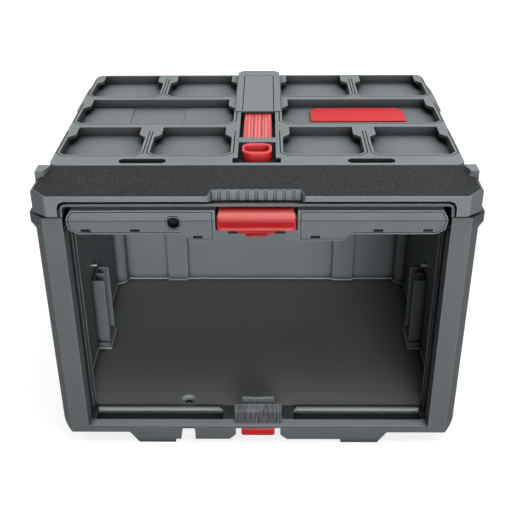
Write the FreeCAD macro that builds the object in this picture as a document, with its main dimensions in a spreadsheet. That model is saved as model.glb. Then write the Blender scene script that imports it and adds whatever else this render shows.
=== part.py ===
import FreeCAD, Part
import os
import Sketcher

# Tool storage cabinet, in millimetres. The front faces -y, z is up, and the origin lies under the middle
# of the base. The door is drawn as it is stored, flat under the roof.

SIZES = {
    # Outside of the cabinet
    "body_half": 245.0,
    "half_depth": 184.0,
    "foot_height": 17.0,
    "body_height": 302.0,
    "roof_rise": 44.0,
    "lip_proud": 4.0,
    "back_set": 1.0,
    "wall": 3.5,
    "fit_gap": 0.3,
    "bite": 1.0,
    "floor_thick": 10.0,
    # Front columns, waist and rear columns, seen from above
    "column_depth": 54.0,
    "column_slope": 9.0,
    "waist_inset": 13.0,
    "rear_inset": 4.0,
    "rear_column_depth": 80.0,
    "rear_column_set": 27.0,
    "rear_taper": 8.0,
    "corner_width": 11.0,
    "corner_depth": 14.0,
    "bottom_round": 14.0,
    "rim_proud": 5.0,
    "rim_depth": 12.0,
    "rim_slope": 7.5,
    "frame_gap": 1.5,
    "frame_width": 3.0,
    "frame_drop": 4.8,
    "frame_depth": 6.0,
    "frame_round": 6.5,
    "frame_back": 14.0,
    "frame_back_set": 1.0,
    # Front opening
    "stile_width": 33.0,
    "rebate_depth": 42.0,
    "ledge_thick": 5.0,
    "ledge_width": 2.5,
    "seal_groove_width": 21.0,
    "seal_groove_depth": 3.5,
    "seal_depth": 5.0,
    "seal_tip": 2.0,
    "seal_tip_set": 1.0,
    "sill_height": 9.0,
    "sill_lip": 14.0,
    "sill_line": 1.0,
    "sill_line_set": 0.5,
    "sill_groove_width": 14.0,
    "sill_groove_depth": 6.0,
    "ridge_height": 4.0,
    "ridge_thick": 5.4,
    "ridge_inner_half": 44.0,
    "ridge_end_slope": 5.0,
    "ridge_gap": 0.6,
    "dimple_offset": 90.6,
    "dimple_radius": 4.5,
    "dimple_cone": 5.0,
    "dimple_depth": 7.0,
    "dimple_set": 8.0,
    # Inside
    "pilaster_inner": 115.0,
    "pilaster_width": 32.0,
    "pilaster_depth": 4.0,
    "pilaster_drop": 25.0,
    "corner_post": 17.0,
    "post_front": 10.0,
    "post_depth": 40.0,
    "post_height": 109.0,
    "post_reach": 17.5,
    "post_wall": 3.0,
    "post_foot_height": 9.0,
    "post_foot_spread": 4.0,
    "stud_radius": 4.0,
    "stud_length": 6.0,
    "stud_rise": 14.0,
    # Roof
    "roof_wall": 3.0,
    "roof_corner_width": 18.5,
    "roof_seam": 1.5,
    "roof_foot_set": 3.0,
    "roof_side_rim": 4.0,
    "lip_wall": 4.5,
    "lip_raise": 20.7,
    "lip_raise_inset": 30.0,
    "lip_round": 8.0,
    "band_rise": 17.3,
    "band_run": 46.0,
    "band_root": 7.7,
    "band_drop": 0.8,
    "grip_half": 52.5,
    "grip_slant": 4.5,
    "grip_depth": 10.0,
    "grip_rise": 2.5,
    "grip_rib_proud": 1.2,
    "grip_rib": 5.8,
    "ear_set": 4.0,
    "ear_width": 14.0,
    "ear_tip": 9.0,
    "ear_length": 18.5,
    "ear_slant": 2.5,
    "deck_pad": 1.0,
    "deck_pad_margin": 4.0,
    "deck_pad_round": 8.0,
    "deck_pad_outer": 62.0,
    "deck_pad_inner": 64.0,
    # Stacking grid
    "grid_inset": 14.5,
    "grid_back_set": 2.0,
    "grid_round": 12.0,
    "grid_bevel": 1.2,
    "pocket_depth": 11.5,
    "pocket_front_set": 28.0,
    "pocket_back_set": 4.0,
    "pocket_edge": 5.5,
    "pocket_rib": 10.4,
    "pocket_row_gap": 14.0,
    "pocket_chamfer": 7.0,
    "outline_set": 2.6,
    "outline_width": 1.5,
    "outline_depth": 1.0,
    "outline_stop": 14.0,
    "tab_width": 8.0,
    "tab_length": 24.0,
    "tab_slope": 9.0,
    "tab_thick": 4.0,
    "slot_offset": 127.5,
    "slot_half": 26.5,
    "slot_radius": 6.5,
    "slot_set": 3.5,
    "slot_depth": 8.5,
    # Spine and its release
    "spine_wall": 8.4,
    "well_set": 4.5,
    "well_gap": 4.6,
    "wing_width": 5.5,
    "wing_length": 14.0,
    "cover_half": 28.5,
    "cover_front_rise": 1.6,
    "cover_back_rise": 6.0,
    "cover_groove": 1.3,
    "cover_groove_depth": 1.0,
    "cover_groove_set": 3.0,
    "cover_margin": 8.1,
    "cover_nose": 3.0,
    "cover_nose_rise": 0.6,
    "cover_overhang": 6.0,
    "cover_corner": 7.0,
    "cover_groove_end": 20.0,
    "bridge_gap": 3.0,
    "bridge_width": 13.5,
    "bridge_thick": 2.5,
    "bridge_slope": 2.0,
    "bridge_proud": 1.0,
    "release_half": 17.0,
    "release_lift": 0.4,
    "release_plate": 4.0,
    "release_gap": 26.5,
    "release_spring": 22.2,
    "ring_length": 31.5,
    "ring_wall": 2.6,
    "ring_end_wall": 5.5,
    "ring_round": 12.0,
    "hole_round": 8.0,
    "tongue_length": 67.8,
    "tongue_groove": 2.0,
    "tongue_strip_rise": 1.0,
    "tongue_gap": 3.0,
    "tongue_drop": 4.0,
    "tongue_margin": 2.0,
    "spring_strip": 1.2,
    # Bare badge plate
    "badge_length": 120.0,
    "badge_width": 46.0,
    "badge_thick": 2.5,
    "badge_chamfer": 9.0,
    "badge_set": 10.0,
    # Door, its pivot and its tracks
    "pivot_drop": 7.0,
    "door_floor_gap": 4.0,
    "door_side_gap": 4.0,
    "door_outer": 15.0,
    "door_inner": 14.0,
    "door_pad": 8.0,
    "door_pad_left": 81.0,
    "door_pad_right": 104.0,
    "door_pad_slope": 9.0,
    "door_pad_length": 60.0,
    "door_parting": 2.5,
    "door_skin": 3.0,
    "door_chamfer": 6.5,
    "door_chamfer_height": 8.0,
    "door_flank": 1.0,
    "door_heel": 12.0,
    "door_heel_height": 5.5,
    "door_line_set": 1.6,
    "door_line": 1.0,
    "door_line_depth": 0.8,
    "door_panel_gap": 1.4,
    "boss_half": 9.8,
    "boss_rise": 8.5,
    "door_panel_inset": 34.0,
    "door_panel_depth": 1.2,
    "door_hole_radius": 7.0,
    "door_hole_depth": 12.0,
    "window_half": 5.5,
    "window_set": 3.0,
    "window_height": 3.4,
    "window_depth": 2.0,
    "barrel_radius": 12.0,
    "barrel_gap": 1.0,
    "rod_radius": 3.0,
    "rod_clearance": 0.3,
    "shoe_half_length": 10.0,
    "shoe_half_height": 7.0,
    "shoe_width": 10.5,
    "shoe_gap": 0.4,
    "shoe_round": 4.0,
    "track_reach": 17.5,
    "track_wall": 3.0,
    "track_web": 4.0,
    "track_overrun": 16.0,
    "head_gap": 1.0,
    "screw_radius": 2.6,
    "screw_head": 1.4,
    # Latch, strike and scoop
    "latch_half": 43.5,
    "latch_gap": 1.5,
    "latch_proud": 2.0,
    "latch_depth": 27.0,
    "latch_travel": 7.0,
    "latch_floor": 4.6,
    "latch_clearance": 0.4,
    "latch_corner": 3.0,
    "latch_brow": 4.0,
    "latch_brow_drop": 8.0,
    "latch_lip": 1.6,
    "latch_inset": 1.4,
    "latch_crease": 0.8,
    "latch_spring_set": 4.0,
    "latch_spring_height": 8.0,
    "latch_slope_run": 8.4,
    "latch_slope_rise": 12.4,
    "latch_flush": 0.3,
    "latch_tongue_half": 20.0,
    "latch_tongue_drop": 3.2,
    "latch_tongue_thick": 5.0,
    "hook_half": 12.0,
    "hook_thick": 1.8,
    "hook_lift": 0.2,
    "hook_clearance": 1.0,
    "hook_arm": 4.0,
    "hook_reach": 7.0,
    "strike_half": 20.0,
    "strike_thick": 2.5,
    "strike_rise": 20.0,
    "strike_foot": 7.0,
    "strike_dip_half": 6.5,
    "strike_dip": 1.0,
    "strike_gap": 0.5,
    "strike_screw_offset": 12.0,
    "notch_gap": 2.0,
    "scoop_half": 30.0,
    "scoop_wall": 3.2,
    "scoop_wall_rise": 12.0,
    "scoop_edge": 0.5,
    "scoop_bed": 0.8,
    "scoop_bend": 5.0,
    "scoop_step": 1.6,
    "scoop_step_run": 1.5,
    "scoop_step_rise": 3.0,
    "scoop_run": 22.0,
    # Base
    "skid_thick": 6.0,
    "skid_inset": 10.0,
    "skid_front_set": 21.0,
    "skid_back_set": 8.0,
    "cleat_inset": 9.0,
    "cleat_shorten": 13.0,
    "guide_half": 104.0,
    "guide_foot": 46.0,
    "guide_slope": 12.0,
    "guide_lift": 5.0,
    "guide_depth": 24.0,
    "guide_set": 1.0,
    "guide_end_slope": 8.0,
    "guide_end_rise": 5.0,
    "arch_start": 79.0,
    "arch_length": 18.0,
    "arch_rise": 7.3,
    "arch_cut": 3.2,
    "arch_depth": 21.0,
    "notch_half": 28.0,
    "notch_rise": 6.5,
    "notch_depth": 31.0,
    "notch_margin": 4.0,
    "lock_half": 21.0,
    "lock_proud": 1.0,
    "lock_thick": 5.0,
    "lock_low": 4.0,
    "lock_round": 3.5,
    "stem_half": 12.0,
    "stem_thick": 4.0,
    "stem_length": 58.0,
    "stem_gap": 0.4,
    "lock_spring": 16.0,
    "dowel_radius": 1.2,
    "dowel_length": 28.0,
    "dowel_clearance": 0.1,
    "dowel_set": 8.0,
    "base_screw_radius": 4.5,
    "base_screw_head": 2.2,
    "base_screw_inset": 15.0,
}

# Counts, and places as shares of a length
GRIP_RIBS = 10
TONGUE_STRIPS = 3
ROUND_SHARE = 0.3
LATCH_CURVE = ((0.12, 0.4), (0.38, 0.74), (0.71, 0.935))
SPRING_TURNS = 5
WINDOW_SHARES = (0.9, 0.64, 0.31)
TRACK_SCREW_SHARES = (0.15, 0.5, 0.85)

doc = FreeCAD.newDocument("ToolCabinet")
sheet = doc.addObject("Spreadsheet::Sheet", "dims")


class Size:
    """A length in millimetres, with the text that ties it to the sheet."""

    def __init__(self, value, text):
        self.value = value
        self.text = text

    def __add__(self, other):
        other = as_size(other)
        return Size(self.value + other.value, f"({self.text} + {other.text})")

    def __sub__(self, other):
        other = as_size(other)
        return Size(self.value - other.value, f"({self.text} - {other.text})")

    def __neg__(self):
        return Size(-self.value, f"(0 - {self.text})")

    def __mul__(self, factor):
        return Size(self.value * factor, f"({self.text} * ({factor}))")

    def __truediv__(self, share):
        return Size(self.value / share, f"({self.text} / ({share}))")


class Sheet:
    """The driving sizes by name, each written once in the sheet."""

    def __init__(self, sizes):
        for row, (alias, value) in enumerate(sizes.items(), start=1):
            sheet.set(f"A{row}", alias)
            sheet.set(f"B{row}", str(value))
            sheet.setAlias(f"B{row}", alias)
            setattr(self, alias, Size(float(value), f"dims.{alias}"))
        doc.recompute()


def as_size(length):
    if isinstance(length, Size):
        return length
    return Size(float(length), f"({float(length)})")


def bind(thing, name, length):
    thing.setExpression(name, as_size(length).text)


# Bodies, outlines and features

PLANE_ROLES = {"x": "YZ_Plane", "y": "XZ_Plane", "z": "XY_Plane"}


def new_body(label):
    body = doc.addObject("PartDesign::Body", label)
    body.Label = label
    return body


def sketch_across(body, axis, place):
    """An empty sketch square to an axis. Across y it looks along -y, so its offset changes sign."""
    sketch = body.newObject("Sketcher::SketchObject", "outline")
    plane = [item for item in body.Origin.OriginFeatures if item.Role == PLANE_ROLES[axis]][0]
    sketch.AttachmentSupport = [(plane, "")]
    sketch.MapMode = "FlatFace"
    bind(sketch, "AttachmentOffset.Base.z", -place if axis == "y" else place)
    return sketch


def hold(sketch, kind, geometry, point, length):
    """Fix one distance of a point from the origin."""
    length = as_size(length)
    index = sketch.addConstraint(Sketcher.Constraint(kind, -1, 1, geometry, point, length.value))
    sketch.setExpression(f"Constraints[{index}]", length.text)


def draw(sketch, outline):
    """A closed outline of straight sides, or a circle given as (u, v, radius)."""
    first = sketch.GeometryCount
    if not isinstance(outline, list):
        u, v, radius = (as_size(length) for length in outline)
        middle = FreeCAD.Vector(u.value, v.value, 0)
        sketch.addGeometry(Part.Circle(middle, FreeCAD.Vector(0, 0, 1), radius.value))
        hold(sketch, "DistanceX", first, 3, u)
        hold(sketch, "DistanceY", first, 3, v)
        index = sketch.addConstraint(Sketcher.Constraint("Radius", first, radius.value))
        sketch.setExpression(f"Constraints[{index}]", radius.text)
        return
    corners = [(as_size(u), as_size(v)) for u, v in outline]
    spots = [FreeCAD.Vector(u.value, v.value, 0) for u, v in corners]
    count = len(corners)
    for step in range(count):
        sketch.addGeometry(Part.LineSegment(spots[step], spots[(step + 1) % count]))
    for step, (u, v) in enumerate(corners):
        following = first + (step + 1) % count
        sketch.addConstraint(Sketcher.Constraint("Coincident", first + step, 2, following, 1))
        hold(sketch, "DistanceX", first + step, 1, u)
        hold(sketch, "DistanceY", first + step, 1, v)


def add_feature(body, kind, axis, start, length, outlines):
    sketch = sketch_across(body, axis, start)
    for outline in outlines:
        draw(sketch, outline)
    feature = body.newObject("PartDesign::" + kind, kind.lower())
    feature.Profile = sketch
    bind(feature, "Length", length)
    body.Tip = feature
    doc.recompute()
    return feature


def pad(body, axis, low, high, *outlines):
    """Add material between two places along an axis."""
    low, high = as_size(low), as_size(high)
    return add_feature(body, "Pad", axis, high if axis == "y" else low, high - low, outlines)


def pocket(body, axis, low, high, *outlines):
    """Take material away between two places along an axis."""
    low, high = as_size(low), as_size(high)
    before = body.Tip.Shape.Volume
    feature = add_feature(body, "Pocket", axis, low if axis == "y" else high, high - low, outlines)
    if feature.Shape.Volume > before - 1e-3:
        raise RuntimeError(f"a pocket in {body.Label} cuts nothing")
    return feature


def soften(body, kind, length, chosen):
    """Round or chamfer the edges of the body that the test picks."""
    base = body.Tip
    names = [f"Edge{n}" for n, edge in enumerate(base.Shape.Edges, start=1) if chosen(edge)]
    feature = body.newObject("PartDesign::" + kind, kind.lower())
    feature.Base = (base, names)
    bind(feature, "Radius" if kind == "Fillet" else "Size", length)
    body.Tip = feature
    doc.recompute()
    return feature


def lies_at(edge, **place):
    """True where every end of an edge has the given coordinates."""
    near = 0.01
    return all(abs(getattr(vertex.Point, axis) - as_size(value).value) < near
               for vertex in edge.Vertexes for axis, value in place.items())


def stands(edge):
    """True for an edge that runs along z."""
    return edge.BoundBox.ZLength > edge.BoundBox.XLength + edge.BoundBox.YLength


def rect(u_low, u_high, v_low, v_high):
    return [(u_low, v_low), (u_high, v_low), (u_high, v_high), (u_low, v_high)]


def both(outline):
    """An outline and its mirror image in the middle plane."""
    return [outline, [(-as_size(u), v) for u, v in outline]]


def side_span(side, inner, outer):
    """Places along x of something on the right (1) or the left (-1)."""
    return (inner, outer) if side > 0 else (-outer, -inner)


def group(label, solids):
    """Several separate solids in one node."""
    node = doc.addObject("Part::Compound", label)
    node.Label = label
    node.Links = solids
    return node


def rod(label, axis, radius, length, x, y, z):
    """A cylinder from a point, along x or z."""
    solid = doc.addObject("Part::Cylinder", label)
    bind(solid, "Radius", radius)
    bind(solid, "Height", length)
    if axis == "x":
        solid.Placement.Rotation = FreeCAD.Rotation(FreeCAD.Vector(0, 1, 0), 90)
    for name, place in (("x", x), ("y", y), ("z", z)):
        bind(solid, "Placement.Base." + name, place)
    return solid


# Places worked out from the sizes

d = Sheet(SIZES)
front = -d.half_depth
face = front + d.lip_proud
back = d.half_depth - d.back_set
back_inside = back - d.wall
waist = d.body_half - d.waist_inset
inside = waist - d.wall
rear = d.body_half - d.rear_inset
column_end = face + d.column_depth
rear_end = back - d.rear_column_set
rear_start = rear_end - d.rear_column_depth
floor = d.foot_height + d.floor_thick
rim_top = d.foot_height + d.body_height
roof_top = rim_top + d.roof_rise
deck_top = roof_top - d.pocket_depth
deck_under = deck_top - d.roof_wall
lip_top = roof_top - d.band_rise
lip_low = rim_top + d.lip_raise
lip_half = d.body_half - d.lip_raise_inset
plate_front = front + d.band_run
plate_back = d.half_depth - d.grid_back_set
grid_half = d.body_half - d.grid_inset

# Along the spine: finger ring, bridge, ribbed tongue and spring, then the cover
well_half = d.release_half + d.well_gap
spine_half = well_half + d.spine_wall
well_front = plate_front + d.well_set
ring_start = well_front + d.release_gap
ring_end = ring_start + d.ring_length
bridge_start = ring_end + d.bridge_gap
bridge_end = bridge_start + d.bridge_width
tongue_start = bridge_end + d.tongue_gap
tongue_end = tongue_start + d.tongue_length
well_back = tongue_end + d.release_spring
cover_front = well_back - d.cover_overhang

opening = d.body_half - d.stile_width
ledge_front = face + d.rebate_depth
ledge_back = ledge_front + d.ledge_thick
ledge_half = opening - d.ledge_width
sill_top = d.foot_height + d.sill_height

pivot_z = rim_top - d.pivot_drop
door_low = floor + d.door_floor_gap
door_length = pivot_z - door_low
pivot_y = face + door_length
door_half = opening - d.door_side_gap
door_top = pivot_z + d.door_outer
door_under = pivot_z - d.door_inner
pad_under = door_under - d.door_pad
parting = pivot_z + d.door_parting
track_low = door_under - d.head_gap

# Where the door's inner faces lie when it is shut, and what meets them
shut_inner = face + d.door_outer + d.door_inner
shut_pad = shut_inner + d.door_pad
strike_back = shut_pad - d.hook_thick - d.strike_gap - d.hook_lift
strike_front = strike_back - d.strike_thick
strike_top = sill_top + d.strike_rise
scoop_back = strike_front - d.fit_gap
scoop_front = scoop_back - d.scoop_wall
ridge_front = shut_inner + d.ridge_gap


def plan(front_line, back_line, inset, corner):
    """The cabinet from above: front columns with cut corners, waist and rear columns, moved in by inset."""
    side = d.body_half - inset
    right = [
        (side - corner, front_line),
        (side, front_line + d.corner_depth),
        (side, column_end),
        (waist - inset, column_end + d.column_slope),
        (waist - inset, rear_start - d.column_slope),
        (rear - inset, rear_start),
        (rear - inset, rear_end),
        (rear - inset - d.rear_taper, back_line),
    ]
    return right + [(-u, v) for u, v in reversed(right)]


def arch(half, top, radius, foot):
    """Half of an upright opening with a rounded upper corner, on the right, from its foot up."""
    cut = radius * ROUND_SHARE
    return [(half, foot), (half, top - radius), (half - cut, top - cut), (half - radius, top)]


def door_to_sill(rise):
    """The stored door's distance from the front that is this high above the base once it is shut."""
    return face + rise - door_low


# The cabinet

def make_body_shell():
    body = new_body("body_shell")
    pad(body, "z", d.foot_height, rim_top, plan(face, back, as_size(0), d.corner_width))
    bottom = d.foot_height

    def bottom_edge(edge):
        return any(lies_at(edge, x=side, z=bottom) for side in (d.body_half, -d.body_half))

    soften(body, "Fillet", d.bottom_round, bottom_edge)

    rim_half = d.body_half + d.rim_proud
    rim_low = rim_top - d.rim_depth
    rim_start = face + d.corner_depth
    rim = [(opening, face), (d.body_half - d.corner_width, face), (rim_half, rim_start),
           (rim_half, column_end), (opening, column_end)]
    pad(body, "z", rim_low, rim_top, *both(rim))
    slope = [(opening, rim_low), (opening, rim_low - d.rim_slope), (d.body_half, rim_low - d.rim_slope),
             (rim_half, rim_low)]
    pad(body, "y", rim_start, column_end, *both(slope))

    pocket(body, "z", floor, rim_top, rect(-inside, inside, ledge_back, back_inside))
    pocket(body, "y", face, ledge_front, rect(-opening, opening, sill_top, rim_top))
    pocket(body, "y", ledge_front, ledge_back, rect(-ledge_half, ledge_half, floor, rim_top))

    groove_half = opening + d.seal_groove_depth
    groove_start = ledge_front - d.seal_groove_width
    pocket(body, "z", sill_top, track_low,
           *both(rect(opening - d.bite, groove_half, groove_start, ledge_front)))
    hollow_in, hollow_out = groove_half + d.wall, d.body_half - d.wall
    hollow = [(hollow_in, face + d.wall), (d.body_half - d.corner_width - d.wall / 2, face + d.wall),
              (hollow_out, face + d.corner_depth + d.wall / 2), (hollow_out, ledge_front - d.wall),
              (hollow_in, ledge_front - d.wall)]
    pocket(body, "z", floor, rim_top, *both(hollow))
    pocket(body, "z", track_low, rim_top, rect(-inside, inside, face + d.wall, ledge_back + d.bite))
    rear_hollow = rect(inside + d.wall, rear - d.wall, rear_start + d.wall, rear_end - d.wall)
    pocket(body, "z", floor, rim_top, *both(rear_hollow))

    sill_groove = rect(d.ridge_inner_half, opening - d.sill_groove_depth, face + d.sill_lip,
                       face + d.sill_lip + d.sill_groove_width)
    pocket(body, "z", sill_top - d.sill_groove_depth, sill_top, *both(sill_groove))
    ridge_top = sill_top + d.ridge_height
    ridge_root = sill_top - d.bite
    ridge_end = ledge_half - d.ridge_end_slope
    ridge = [(d.ridge_inner_half, ridge_root), (ridge_end, ridge_root), (ridge_end, ridge_top),
             (d.ridge_inner_half + d.ridge_end_slope, ridge_top)]
    pad(body, "y", ridge_front, ridge_front + d.ridge_thick, *both(ridge))
    notch_top = d.foot_height + d.notch_rise
    pocket(body, "z", d.foot_height, notch_top,
           rect(-d.notch_half, d.notch_half, face, face + d.notch_depth))
    arch_low, arch_high = d.foot_height, d.foot_height + d.arch_rise
    arch_in, arch_out = d.arch_start, d.arch_start + d.arch_length
    pocket(body, "y", face, face + d.arch_depth,
           [(-arch_out, arch_low), (-arch_in, arch_low), (-arch_in, arch_high - d.arch_cut),
            (-arch_in - d.arch_cut, arch_high), (d.arch_cut - arch_out, arch_high),
            (-arch_out, arch_high - d.arch_cut)])
    line_top = sill_top - d.sill_line_set
    pocket(body, "y", face, face + d.sill_line, rect(-opening, opening, line_top - d.sill_line, line_top))

    frame_half = lip_half - d.frame_gap
    frame_top = lip_low - d.frame_drop
    frame_foot = rim_top - d.bite
    frame_inner = frame_half - d.frame_width
    outside = arch(frame_half, frame_top, d.frame_round, frame_foot)
    inner = arch(frame_inner, frame_top - d.frame_width, d.frame_round - d.frame_width, frame_foot)
    portal = outside + [(-u, v) for u, v in reversed(outside)]
    portal += [(-u, v) for u, v in inner] + list(reversed(inner))
    pad(body, "y", face, face + d.wall, portal)
    bar_half = frame_half - d.frame_round
    pad(body, "y", face + d.bite, face + d.frame_depth,
        rect(-bar_half, bar_half, frame_top - d.frame_width, frame_top))
    pad(body, "y", face + d.frame_back_set, face + d.wall,
        *both(rect(frame_half - d.bite, opening + d.frame_back, frame_foot, frame_top - d.frame_round)))

    pilaster_end = d.pilaster_inner + d.pilaster_width
    pilaster = rect(d.pilaster_inner, pilaster_end, back_inside - d.pilaster_depth, back_inside + d.bite)
    pad(body, "z", floor - d.bite, rim_top - d.pilaster_drop, *both(pilaster))
    post_x, post_y = inside - d.corner_post, back_inside - d.corner_post
    post = rect(post_x, inside + d.bite, post_y, back_inside + d.bite)
    pad(body, "z", floor - d.bite, rim_top, *both(post))

    def post_edge(edge):
        return any(lies_at(edge, x=side, y=post_y) for side in (post_x, -post_x))

    soften(body, "Fillet", d.corner_post - d.bite, post_edge)

    dimple_y = ridge_front + d.ridge_thick + d.dimple_radius + d.dimple_cone + d.dimple_set
    pocket(body, "z", floor - d.dimple_depth, floor, (-d.dimple_offset, dimple_y, d.dimple_radius))

    def dimple_edge(edge):
        round_edge = len(edge.Vertexes) == 1 and edge.Curve.TypeId == "Part::GeomCircle"
        return round_edge and lies_at(edge, z=floor)

    soften(body, "Chamfer", d.dimple_cone, dimple_edge)
    for x, y in dowel_places():
        pocket(body, "z", rim_top - d.dowel_length / 2, rim_top,
               (x, y, d.dowel_radius + d.dowel_clearance))


def dowel_places():
    """Dowels between the body's columns and the roof."""
    x = d.body_half - d.dowel_set
    rear_x = inside + d.wall / 2
    front_y = column_end - d.dowel_set
    rear_y = rear_end - d.rear_column_depth / 2
    return [(x, front_y), (-x, front_y), (rear_x, rear_y), (-rear_x, rear_y)]


def make_roof_cap():
    roof = new_body("roof_cap")
    crest = roof_top - d.band_drop
    seam = rim_top + d.roof_seam
    foot_set = d.roof_foot_set
    pad(roof, "z", seam, crest, plan(front, d.half_depth, as_size(0), d.roof_corner_width))
    pad(roof, "z", rim_top, seam + d.bite,
        plan(front + foot_set, d.half_depth - foot_set, foot_set, d.roof_corner_width))

    # The band slopes down to the lip and to both sides, and the plate's deck lies behind it
    side = d.body_half
    pocket(roof, "x", -side, side, [(front, lip_top), (plate_front, crest), (front, crest)])
    pocket(roof, "y", front, plate_front, *both([(side, lip_top), (side, crest), (grid_half, crest)]))
    pocket(roof, "y", plate_front, d.half_depth,
           *both([(side, lip_top), (side, crest), (grid_half, crest),
                  (grid_half, deck_top + d.roof_side_rim)]))
    pocket(roof, "z", deck_top, crest, rect(-grid_half, grid_half, plate_front, d.half_depth))

    root = lip_top - d.band_root
    step = front + d.band_run / 2
    pocket(roof, "z", rim_top, deck_under, rect(-inside, inside, step, back_inside))
    pocket(roof, "z", rim_top, root - d.bite, rect(-inside, inside, front + d.lip_wall, step))
    corner = arch(lip_half, lip_low, d.lip_round, rim_top)
    pocket(roof, "y", front, front + d.lip_wall, corner + [(-u, v) for u, v in reversed(corner)])

    grip_back = front + d.grip_depth
    grip_end = d.grip_half - d.grip_slant
    grip_low = root - d.bite
    pocket(roof, "z", grip_low, crest,
           [(-d.grip_half, front), (d.grip_half, front), (grip_end, grip_back), (-grip_end, grip_back)])
    ribs = []
    for number in range(GRIP_RIBS):
        middle = (grip_end - d.grip_rib / 2) * (2 * number / (GRIP_RIBS - 1) - 1)
        ribs.append(rect(middle - d.grip_rib / 2, middle + d.grip_rib / 2, grip_back - d.grip_rib_proud,
                         grip_back + d.bite))
    pad(roof, "z", grip_low, lip_top + d.grip_rise, *ribs)

    ear_outer = side - d.ear_set
    ear_back = plate_front - d.bite / 2
    ear_front = ear_back - d.ear_length
    ear = [(ear_outer, ear_back), (ear_outer - d.ear_width, ear_back),
           (ear_outer - d.ear_tip, ear_front + d.ear_slant), (ear_outer, ear_front)]
    pad(roof, "z", lip_top - d.bite, roof_top, *both(ear))

    inner, outer, low, high = pocket_spans()[2]
    margin = d.deck_pad_margin
    pads = [rect(margin - outer, d.deck_pad_outer - outer, low + margin, high - margin),
            rect(-inner - d.deck_pad_inner, -inner - margin, low + margin, high - margin)]
    pad_top = deck_top + d.deck_pad
    pad(roof, "z", deck_top - d.bite, pad_top, *pads)

    def pad_edge(edge):
        ends = (d.deck_pad_outer - outer, -inner - d.deck_pad_inner)
        return stands(edge) and any(lies_at(edge, x=x) for x in ends)

    soften(roof, "Fillet", d.deck_pad_round, pad_edge)
    for x, y in dowel_places():
        pocket(roof, "z", rim_top, rim_top + d.dowel_length / 2,
               (x, y, d.dowel_radius + d.dowel_clearance))


def pocket_spans():
    """Each stacking pocket as (inner x, outer x, front y, back y), on the right half."""
    outer = grid_half - d.pocket_edge
    width = (outer - spine_half - d.pocket_rib) / 2
    first = plate_front + d.pocket_front_set
    last = plate_back - d.pocket_back_set
    length = (last - first - d.pocket_row_gap * 2) / 3
    spans = []
    for row in range(3):
        low = first + (length + d.pocket_row_gap) * row
        if row == 1:
            spans.append((spine_half, outer, low, low + length))
            continue
        spans.append((spine_half, spine_half + width, low, low + length))
        spans.append((outer - width, outer, low, low + length))
    return spans


def pocket_outline(inner, outer, low, high):
    """A pocket below its tabs, with chamfered front corners."""
    cut = d.pocket_chamfer
    return [(inner + cut, low), (outer - cut, low), (outer, low + cut), (outer, high), (inner, high),
            (inner, low + cut)]


def tab_outline(inner, outer, low, high):
    """The same pocket between the two tabs at its back corners."""
    cut = d.pocket_chamfer
    near = high - d.tab_length
    return [(inner + cut, low), (outer - cut, low), (outer, low + cut), (outer, near - d.tab_slope),
            (outer - d.tab_width, near), (outer - d.tab_width, high), (inner + d.tab_width, high),
            (inner + d.tab_width, near), (inner, near - d.tab_slope), (inner, low + cut)]


def line_outline(inner, outer, low, high):
    """The shallow line round a pocket's sides and front."""
    stop = high - d.outline_stop
    cut = d.pocket_chamfer

    def way(away):
        turn = cut - away * 0.414
        return [(inner - away, stop), (inner - away, low + turn), (inner + turn, low - away),
                (outer - turn, low - away), (outer + away, low + turn), (outer + away, stop)]

    return way(d.outline_set) + list(reversed(way(d.outline_set + d.outline_width)))


def make_stacking_grid():
    grid = new_body("stacking_grid")
    pad(grid, "z", deck_top, roof_top, rect(-grid_half, grid_half, plate_front, plate_back))

    def corner_edge(edge):
        return any(lies_at(edge, x=x, y=y) for x in (grid_half, -grid_half)
                   for y in (plate_front, plate_back))

    soften(grid, "Fillet", d.grid_round, corner_edge)
    soften(grid, "Chamfer", d.grid_bevel, lambda edge: lies_at(edge, z=roof_top))
    low_cuts, high_cuts, lines = [], [], []
    for span in pocket_spans():
        low_cuts += both(pocket_outline(*span))
        high_cuts += both(tab_outline(*span))
        lines += both(line_outline(*span))
    pocket(grid, "z", deck_top, roof_top - d.tab_thick, *low_cuts)
    pocket(grid, "z", roof_top - d.tab_thick, roof_top, *high_cuts)
    pocket(grid, "z", roof_top - d.outline_depth, roof_top, *lines)
    wing = well_half + d.wing_width
    wing_end = well_front + d.wing_length
    well = [(wing, well_front), (wing, wing_end), (well_half, wing_end), (well_half, well_back)]
    pocket(grid, "z", deck_top, roof_top, well + [(-u, v) for u, v in reversed(well)])
    slot_y = plate_front + d.slot_set + d.slot_radius
    slot_ends = []
    for middle in (d.slot_offset, -d.slot_offset):
        slot_ends.append(rect(middle - d.slot_half, middle + d.slot_half, slot_y - d.slot_radius,
                              slot_y + d.slot_radius))
    pocket(grid, "z", roof_top - d.slot_depth, roof_top, *slot_ends)

    def slot_edge(edge):
        beside = [slot_y - d.slot_radius, slot_y + d.slot_radius]
        ends = [side * place for side in (1, -1) for place in (d.slot_offset.value - d.slot_half.value,
                                                               d.slot_offset.value + d.slot_half.value)]
        return stands(edge) and any(lies_at(edge, x=x, y=y) for x in ends for y in beside)

    soften(grid, "Fillet", d.slot_radius - d.fit_gap, slot_edge)


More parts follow.
